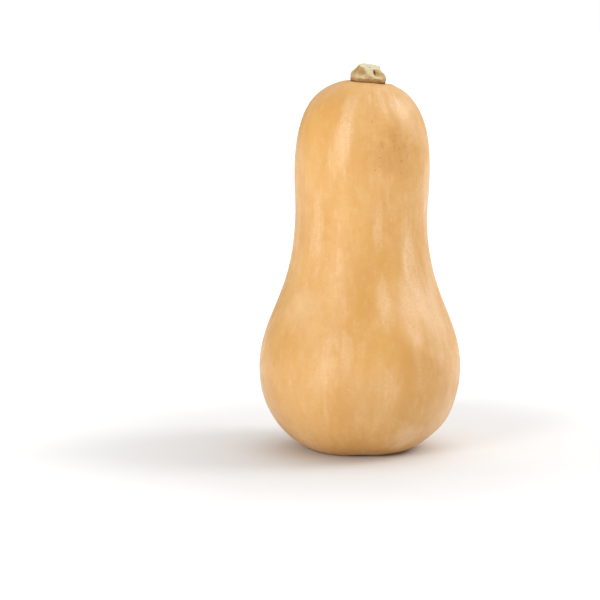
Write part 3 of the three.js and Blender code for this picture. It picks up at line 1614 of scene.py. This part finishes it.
    def build(self, effects: EffectGroups) -> bpy.types.Object:
        """Builds and dresses the fruit.

        Args:
            effects: The shared node groups.

        Returns:
            The fruit's object.
        """
        surface = RingSurface("squash_fruit", self._surface())
        piece = surface.piece()
        surface.lay_out(piece, "grown", self._grown_places())
        surface.mark(piece, "flank", self._flank_share())
        piece.data.materials.append(self._rind().material(effects))
        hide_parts("fruit")
        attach(piece, "root")
        return piece

    def _rind(self) -> RindFinish:
        """Places the rind's patches and bands on this body.

        Returns:
            The rind's finish.
        """
        # The crown's deeper gold: partly the skin's own tone, partly painted shade.
        crown = round_patch(
            self.seat, self.seat_radius, self.crown_tone_and_shade_edge, RindTint.GOLD, self.crown_tone_and_shade_amount
        )
        # Painted shade round the foot of the stem.
        foot = round_patch(
            self.seat,
            self.seat_radius * self.seat_shade_share,
            self.seat_shade_edge,
            RindTint.SEAT_SHADE_BROWN,
            self.foot_shade_amount,
        )
        spots = [spot.patch(self.surface_point(spot)) for spot in self.spots]
        return RindFinish(
            patches=(crown, *spots, foot),
            bands=tuple(band.patch(self.band_point(band)) for band in self.bands),
            band_stretch=self.band_stretch,
            rub=self.rub.patch(self.surface_point(self.rub)),
            scar_radius=self.scar_radius * self.radius,
        )


@dataclass(frozen=True)
class StemRelief:
    """How the stem's flank stands out from its plain shape, point by point.

    The knobs and the ribs are shares of their rise. The rest are outward moves.
    """

    knobs: np.ndarray
    ribs: np.ndarray
    raised: np.ndarray
    rough: np.ndarray
    pit: np.ndarray


@dataclass
class StemStub:
    """The corky stub of stem, cut off short and aslant."""

    low: Vector
    high: Vector
    tilt: float
    flank_rings: int = 84
    face_rings: int = 26
    sides: int = 220
    foot_radius: float = 11.0 * MM
    swell_radius: float = 11.2 * MM
    swell_level: float = 2.8 * MM
    foot_flare: float = 0.1 * MM
    swell_start: float = 1.6 * MM
    swell_pull: float = 3.6 * MM
    rim_flare: float = 1.8 * MM
    rim_pull: float = 2.0 * MM
    rim_radius: float = 7.4 * MM
    rim_shift: float = 0.5 * MM
    rib_radius: float = 9 * MM
    height: float = 10.0 * MM
    sunk: float = 1.2 * MM
    cut_fall_front: float = 0.19
    cut_fall_side: float = 0.05
    dish: float = 0.7 * MM
    pith: RingRise = RingRise(height=0.5 * MM, radius=0.0, width=1.1 * MM)
    rim_wear: float = 0.12 * MM
    ridge_amount: float = 0.85
    rib_amount: float = 0.8
    rib_fade: tuple[float, float] = (2 * MM, 5 * MM)
    # Painted shade in the hollows, the pit, the foot and the crease: how strong it is and where it
    # fades.
    hollow_shade_amount: float = 0.9
    hollow_shade_full: float = 1.3 * MM
    pit_shade_full: float = 1.6 * MM
    foot_shade_amount: float = 0.85
    foot_shade_fade: tuple[float, float] = (0.8 * MM, 3.6 * MM)
    crease_shadow_fade: tuple[float, float] = (0.0, 1.0 * MM)
    fade_waver: float = 1.5
    saw_marks: Roughness = Roughness(0.12 * MM, 1.3 * MM, 3, seed=7.7, squash=(1.0, 0.25, 1.0))
    lumps: Roughness = Roughness(0.28 * MM, 2.6 * MM, 3, seed=5.3)
    wrinkles: Roughness = Roughness(0.12 * MM, 0.8 * MM, 2, seed=1.9, squash=(1.0, 1.0, 0.4))
    knobs: tuple[Ridge, ...] = (
        Ridge(path=((-148, 2.6 * MM), (-144, 4.0 * MM)), width=1.7 * MM, rise=0.9 * MM),
        Ridge(path=((-92, 3.6 * MM), (-91, 5.4 * MM)), width=1.3 * MM, rise=1.0 * MM),
        Ridge(path=((-30, 1.6 * MM), (-27, 4.6 * MM)), width=2.0 * MM, rise=1.2 * MM),
        Ridge(path=((28, 1.0 * MM), (24, 4.5 * MM)), width=1.9 * MM, rise=1.0 * MM),
        Ridge(path=((86, 1.0 * MM), (92, 6.5 * MM)), width=1.8 * MM, rise=1.0 * MM),
        Ridge(path=((150, 1.0 * MM), (156, 5.0 * MM)), width=1.8 * MM, rise=1.0 * MM),
    )
    ribs: tuple[Ridge, ...] = (
        Ridge(path=((-108, 10.2 * MM), (-91, 8.4 * MM)), width=1.9 * MM, rise=0.9 * MM),
        Ridge(
            path=((-91, 8.4 * MM), (-82, 6.4 * MM), (-70, 4.4 * MM), (-50, 3.6 * MM)),
            width=1.15 * MM,
            rise=1.2 * MM,
        ),
        Ridge(path=((-128, 3.2 * MM), (-112, 3.8 * MM)), width=1.2 * MM, rise=0.5 * MM),
        Ridge(path=((-38, 10.0 * MM), (-36, 8.6 * MM)), width=1.2 * MM, rise=0.8 * MM),
        Ridge(path=((-188, 8.5 * MM), (-192, 4.0 * MM)), width=1.1 * MM, rise=0.5 * MM),
        Ridge(path=((40, 10.5 * MM), (52, 4.0 * MM)), width=1.1 * MM, rise=0.8 * MM),
        Ridge(path=((118, 10.5 * MM), (110, 4.0 * MM)), width=1.2 * MM, rise=1.0 * MM),
    )
    hollows: tuple[Swelling, ...] = (
        Swelling(angle=-119, level=7.4 * MM, width=3.2 * MM, height=2.1 * MM, rise=-1.9 * MM),
        Swelling(angle=-56, level=7.0 * MM, width=2.4 * MM, height=1.8 * MM, rise=-1.2 * MM),
        Swelling(angle=0, level=7.4 * MM, width=5.0 * MM, height=2.2 * MM, rise=-3.0 * MM),
        Swelling(angle=-98, level=1.6 * MM, width=4.5 * MM, height=1.0 * MM, rise=-0.6 * MM),
        Swelling(angle=72, level=7.0 * MM, width=2.4 * MM, height=2.6 * MM, rise=-1.5 * MM),
        Swelling(angle=134, level=6.6 * MM, width=2.4 * MM, height=2.4 * MM, rise=-1.6 * MM),
        Swelling(angle=180, level=7.6 * MM, width=4.5 * MM, height=2.4 * MM, rise=-1.4 * MM),
        Swelling(angle=-158, level=6.6 * MM, width=2.0 * MM, height=2.6 * MM, rise=-0.9 * MM),
    )
    pit: Swelling = Swelling(
        angle=-68, level=7.6 * MM, width=0.8 * MM, height=1.5 * MM, rise=-2.8 * MM
    )

    @property
    def foot(self) -> Vector:
        """The middle of the foot, on the fruit's seat."""
        middle = (self.low + self.high) / 2
        return Vector((middle.x, middle.y, self.low.z + self.tilt * self.foot_radius))

    def build(self, effects: EffectGroups) -> bpy.types.Object:
        """Builds and dresses the stem.

        Args:
            effects: The shared node groups.

        Returns:
            The stem's object.
        """
        angles = round_angles(self.sides)
        plain_radii, levels = self._flank(angles)
        relief = self._relief(angles, plain_radii, levels)
        radii = plain_radii + relief.raised + relief.rough
        flank = self._stand(angles, radii + relief.pit, levels)
        face = self._face(angles, radii[-1] + relief.pit[-1])
        underside = self._underside(flank[0])
        surface = RingSurface("squash_stem", np.concatenate([underside, flank, face]))
        piece = surface.piece()
        for mask, values in self._masks(angles, radii, levels, relief).items():
            below = np.repeat(values[:1], len(underside), axis=0)
            bare = np.zeros(face.shape[:2])
            surface.mark(piece, mask.value, np.concatenate([below, values, bare]))
        self._dress(piece, effects, first_face=len(underside) + len(flank))
        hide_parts("stem")
        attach(piece, "root")
        return piece

    def _flank(self, angles: np.ndarray) -> tuple[np.ndarray, np.ndarray]:
        """The plain flank, from below the seat up to the rim of the cut.

        Args:
            angles: The angles round the stem, as one row.

        Returns:
            The radius and the level of each point.
        """
        foot = (self.foot_radius, -self.sunk)
        swell = (self.swell_radius, self.swell_level)
        rim = (self.rim_radius, self.height)
        off_foot = (foot[0] + self.foot_flare, 0.0)
        lower = cubic((foot, off_foot, (swell[0], self.swell_start), swell), steps=40)
        over = (swell[0], swell[1] + self.swell_pull)
        under = (rim[0] + self.rim_flare, rim[1] - self.rim_pull)
        upper = cubic((swell, over, under, rim), steps=60)
        outline = evenly_spaced(np.concatenate([[foot], lower, upper]), self.flank_rings)
        radii, levels, _ = np.broadcast_arrays(outline[:, :1], outline[:, 1:], angles)
        return radii, levels

    def _relief(self, angles: np.ndarray, radii: np.ndarray, levels: np.ndarray) -> StemRelief:
        """Works out the relief of the flank.

        Args:
            angles: The angles round the stem, in radians.
            radii: The plain radius of each point.
            levels: The level of each point.

        Returns:
            The relief.
        """
        knobs = [knob.share(angles, levels, self.foot_radius) for knob in self.knobs]
        ribs = [rib.share(angles, levels, self.rib_radius) for rib in self.ribs]
        raised = sum(knob.rise * share for knob, share in zip(self.knobs, knobs))
        raised = raised + sum(rib.rise * share for rib, share in zip(self.ribs, ribs))
        raised = raised + sum(hollow.on(angles, levels, radii) for hollow in self.hollows)
        plain = np.stack([radii * np.cos(angles), radii * np.sin(angles), levels], axis=-1)
        return StemRelief(
            knobs=np.maximum.reduce(knobs),
            ribs=np.maximum.reduce(ribs),
            raised=raised,
            rough=self.lumps.on(plain) + self.wrinkles.on(plain),
            pit=self.pit.on(angles, levels, radii),
        )

    def _masks(
        self, angles: np.ndarray, radii: np.ndarray, levels: np.ndarray, relief: StemRelief
    ) -> dict[StemMask, np.ndarray]:
        """Works out where the cork changes colour, and where shade is painted into its hollows, its
        pit, its foot and the crease.

        Args:
            angles: The angles round the stem, in radians.
            radii: The radius of each point, with its relief.
            levels: The level of each point.
            relief: The relief of the flank.

        Returns:
            Each mask of the flank.
        """
        # How deep each hollow is, for the painted shade in it.
        hollow = -sum(hollow.on(angles, levels, radii) for hollow in self.hollows)
        from_foot = levels + self.fade_waver * relief.rough
        return {
            StemMask.RIDGE: self.ridge_amount * relief.knobs,
            StemMask.RIB: self.rib_amount * relief.ribs * smooth_step(*self.rib_fade, levels),
            StemMask.HOLLOW_SHADE: self.hollow_shade_amount * np.clip(hollow / self.hollow_shade_full, 0.0, 1.0),
            StemMask.PIT_SHADE: np.clip(-relief.pit / self.pit_shade_full, 0.0, 1.0),
            StemMask.FOOT_SHADE: self.foot_shade_amount * (1.0 - smooth_step(*self.foot_shade_fade, from_foot)),
            StemMask.CREASE_SHADOW: self.foot_shade_amount * (1.0 - smooth_step(*self.crease_shadow_fade, from_foot)),
        }

    def _stand(self, angles: np.ndarray, radii: np.ndarray, levels: np.ndarray) -> np.ndarray:
        """Puts points of the upright stem in their place on the tilted seat.

        Args:
            angles: Angle of each point, in radians.
            radii: Distance from the stem's axis.
            levels: Level above the foot, where the cut would be level.

        Returns:
            The places of the points.
        """
        share = np.clip(levels / self.height, 0.0, 1.1)
        x = radii * np.cos(angles) + self.rim_shift * share
        y = radii * np.sin(angles)
        z = levels + share * (self.cut_fall_front * y - self.cut_fall_side * x)
        foot = self.foot
        return np.stack([foot.x + x + self.tilt * z, foot.y + y, foot.z + z - self.tilt * x], axis=-1)

    def _underside(self, foot_ring: np.ndarray) -> np.ndarray:
        """The two rings that close the stem below, inside the fruit."""
        middle = foot_ring.mean(0)
        return np.stack([middle + 0 * foot_ring, middle + 0.5 * (foot_ring - middle)])

    def _face(self, angles: np.ndarray, rim: np.ndarray) -> np.ndarray:
        """The cut face: rings from just inside the rim to the middle, a little dished.

        Args:
            angles: The angles round the stem, in radians.
            rim: The radius of the rim at each angle.

        Returns:
            The places of the face's points.
        """
        inwards = np.linspace(0.985, 0.0, self.face_rings)[:, None]
        radii = inwards * rim[None, :]
        flat = np.stack([radii * np.cos(angles), radii * np.sin(angles), 0 * radii], axis=-1)
        dish = self.dish * (1.0 - inwards**2) - self.rim_wear * smooth_step(1.0, 0.9, inwards)
        levels = self.height - dish - self.pith.on(radii) + self.saw_marks.on(flat)
        return self._stand(angles, radii, levels)

    def _dress(self, piece: bpy.types.Object, effects: EffectGroups, first_face: int) -> None:
        """Gives the flank its cork and the cut face its pale pith.

        Args:
            piece: The stem's object.
            effects: The shared node groups.
            first_face: The first ring of the cut face.
        """
        foot = self.foot
        top = (foot.x + self.tilt * self.height, foot.y, foot.z + self.height)
        piece.data.materials.append(CorkFinish().material(effects))
        piece.data.materials.append(CutFinish(middle=top, radius=self.rim_radius).material(effects))
        first_point = 1 + (first_face - 1) * self.sides
        for face in piece.data.polygons:
            face.material_index = int(min(face.vertices) >= first_point)


# ---------------------------------------------------------------------------------------------
# The studio
# ---------------------------------------------------------------------------------------------


@dataclass
class ViewCamera:
    """A long lens at about the height of the squash's crown, looking slightly down."""

    distance: float = 1.4
    level: float = 0.285
    side: float = -0.0384
    pitch: float = 7.7
    lens: float = 132.0
    sensor_width: float = 36.0
    clip_end: float = 100.0

    def build(self) -> None:
        """Makes the camera and gives it to the scene."""
        data = bpy.data.cameras.new("view_camera")
        data.lens = self.lens
        data.sensor_width = self.sensor_width
        data.clip_end = self.clip_end
        camera = bpy.data.objects.new("view_camera", data)
        camera.location = (self.side, -self.distance, self.level)
        camera.rotation_euler = (math.radians(90.0 - self.pitch), 0.0, 0.0)
        bpy.context.scene.collection.objects.link(camera)
        bpy.context.scene.camera = camera


@dataclass(frozen=True)
class SoftBox:
    """A rectangular soft light that faces the squash.

    The azimuth is in degrees from the front, to the right, and the elevation in degrees.
    """

    name: str
    azimuth: float
    elevation: float
    distance: float
    width: float
    height: float
    power: float

    def build(self, target: Vector) -> None:
        """Hangs the light and aims it.

        Args:
            target: What it faces.
        """
        data = bpy.data.lights.new(self.name, "AREA")
        data.shape = "RECTANGLE"
        data.size = self.width
        data.size_y = self.height
        data.energy = self.power
        light = bpy.data.objects.new(self.name, data)
        turn, rise = math.radians(self.azimuth), math.radians(self.elevation)
        level = math.cos(rise)
        way = Vector((math.sin(turn) * level, -math.cos(turn) * level, math.sin(rise)))
        light.location = target + way * self.distance
        light.rotation_euler = way.to_track_quat("Z", "Y").to_euler()
        bpy.context.scene.collection.objects.link(light)


@dataclass
class Studio:
    """White paper floor, a light tent that is brighter overhead, and two soft lights."""

    middle: Vector
    floor_half: float = 20.0
    tent_low: float = 0.26
    tent_rise: float = 1.45
    tent_way: tuple[float, float, float] = (0.33, 0.34, 0.88)
    tent_horizon: float = 0.3
    boxes: tuple[SoftBox, ...] = (
        SoftBox("key_strip", -39, 12, distance=1.7, width=0.64, height=1.2, power=18.5),
        SoftBox("right_box", 97, 34, distance=1.5, width=0.6, height=0.6, power=7.0),
    )

    def build(self, effects: EffectGroups) -> None:
        """Lays the floor, lights the surround and hangs the lights.

        Args:
            effects: The shared node groups.
        """
        self._floor(effects)
        self._surround()
        for box in self.boxes:
            box.build(self.middle)
        bpy.context.scene.view_settings.view_transform = "Standard"

    def _floor(self, effects: EffectGroups) -> bpy.types.Object:
        """The floor, a wide flat sheet just under the squash.

        Args:
            effects: The shared node groups.

        Returns:
            The floor's object.
        """
        half = self.floor_half
        corners = [(-half, -half, 0.0), (half, -half, 0.0), (half, half, 0.0), (-half, half, 0.0)]
        mesh = bpy.data.meshes.new("studio_floor")
        mesh.from_pydata(corners, [], [(0, 1, 2, 3)])
        floor = bpy.data.objects.new("studio_floor", mesh)
        mesh.materials.append(FloorFinish().material(effects))
        bpy.context.scene.collection.objects.link(floor)
        return floor

    def _surround(self) -> None:
        """Lights the tent: white to look at, and brighter overhead in the light it gives."""
        world = bpy.data.worlds.new("light_tent")
        world.use_nodes = True
        sheet = NodeSheet(world.node_tree)
        around = sheet.add("ShaderNodeTexCoord").outputs["Generated"]
        way = sheet.add("ShaderNodeSeparateXYZ")
        sheet.feed(way.inputs["Vector"], around)
        facing = sheet.sum_vectors(VectorSum.DOT_PRODUCT, around, self.tent_way)
        near = sheet.sum(Sum.MAXIMUM, facing, 0.0)
        overhead = sheet.product(sheet.product(near, near), self.tent_rise)
        above_horizon = sheet.spread(way.outputs["Z"], 0.0, self.tent_horizon)
        glow = sheet.sum(Sum.ADD, overhead, sheet.product(above_horizon, self.tent_low))
        seen = sheet.add("ShaderNodeLightPath").outputs["Is Camera Ray"]
        background = sheet.add("ShaderNodeBackground")
        sheet.feed(background.inputs["Color"], (1.0, 1.0, 1.0, 1.0))
        sheet.feed(background.inputs["Strength"], sheet.sum(Sum.MAXIMUM, glow, seen))
        output = sheet.add("ShaderNodeOutputWorld")
        sheet.feed(output.inputs["Surface"], background.outputs["Background"])
        bpy.context.scene.world = world


def report(piece: bpy.types.Object) -> None:
    """Logs a finished piece and how fine its mesh is."""
    mesh = piece.data
    log.info("%s: %d points, %d faces", piece.name, len(mesh.vertices), len(mesh.polygons))


def main() -> None:
    """Builds the squash on its frame, then the studio round it."""
    logging.basicConfig(level=logging.INFO, format="%(name)s: %(message)s")
    ViewCamera().build()
    effects = EffectGroups()
    fruit_low, fruit_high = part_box("fruit")
    tilt = FruitBody.shoulder_tilt + FruitBody.seat_tilt
    stem = StemStub(*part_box("stem"), tilt=tilt)
    fruit = FruitBody(fruit_low, fruit_high, seat=stem.foot)
    report(fruit.build(effects))
    report(stem.build(effects))
    Studio(middle=(CAD_LOW + CAD_HIGH) / 2).build(effects)


if __name__ == "__main__":
    main()
